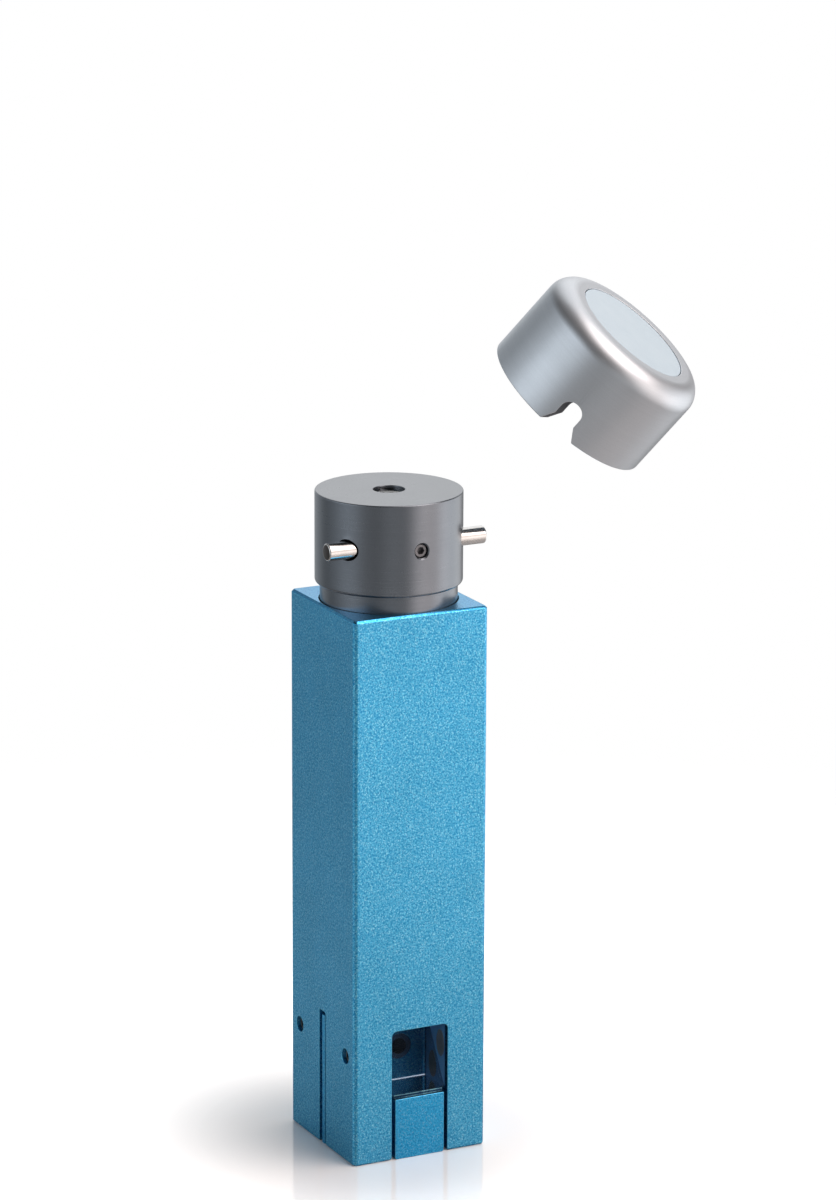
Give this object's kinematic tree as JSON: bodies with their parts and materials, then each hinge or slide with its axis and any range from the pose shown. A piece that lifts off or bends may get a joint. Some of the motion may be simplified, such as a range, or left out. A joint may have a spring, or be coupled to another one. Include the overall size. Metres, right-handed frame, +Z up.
{
  "type": "fibre-optic micro-volume cuvette",
  "caption": "Square blue metal cuvette body with fibre optics inside, a round grey head with a sample well and cross pin, and a notched silver mirror cap held above it.",
  "frame": {"origin": "centre of the body's square base, on the surface it stands on", "axes": "+Z up along the body and head, -Y out of the front window, +X along the cross pin"},
  "size_m": [0.0324, 0.0202, 0.0747],
  "materials": {
    "blue_anodised": "bead-blasted blue anodised aluminium",
    "head_grey": "satin grey hard-anodised aluminium",
    "cap_silver": "satin bead-blasted aluminium",
    "polished_steel": "polished stainless steel",
    "dark_steel": "blackened steel",
    "ferrule_steel": "turned stainless steel",
    "quartz": "polished fused quartz",
    "fibre_black": "black fibre jacket",
    "seal_rubber": "black sealing ring",
    "pad_white": "white plastic pad",
    "disc_white": "pale blue-white inlaid disc",
    "mirror": "front-surface mirror"
  },
  "bodies": {
    "root": {"body": "blue_anodised", "front_prism_holder": "blue_anodised", "rear_prism_holder": "blue_anodised", "front_prism": "quartz", "rear_prism": "quartz", "divider_plate": "blue_anodised", "side_set_screws": "dark_steel", "clamp_pads": "pad_white", "head": "head_grey", "neck_seal": "seal_rubber", "cross_pin": "polished_steel", "pin_lock_screw": "dark_steel", "tip_window": "quartz", "tip_ferrule": "ferrule_steel", "tip_bundle": "fibre_black", "junction_sleeve": "ferrule_steel", "front_fibre_leg": "fibre_black", "rear_fibre_leg": "fibre_black", "front_leg_ferrule": "ferrule_steel", "rear_leg_ferrule": "ferrule_steel", "cap": "cap_silver", "cap_disc": "disc_white", "cap_mirror": "mirror", "path_ring": "ferrule_steel"}
  },
  "joints": []
}
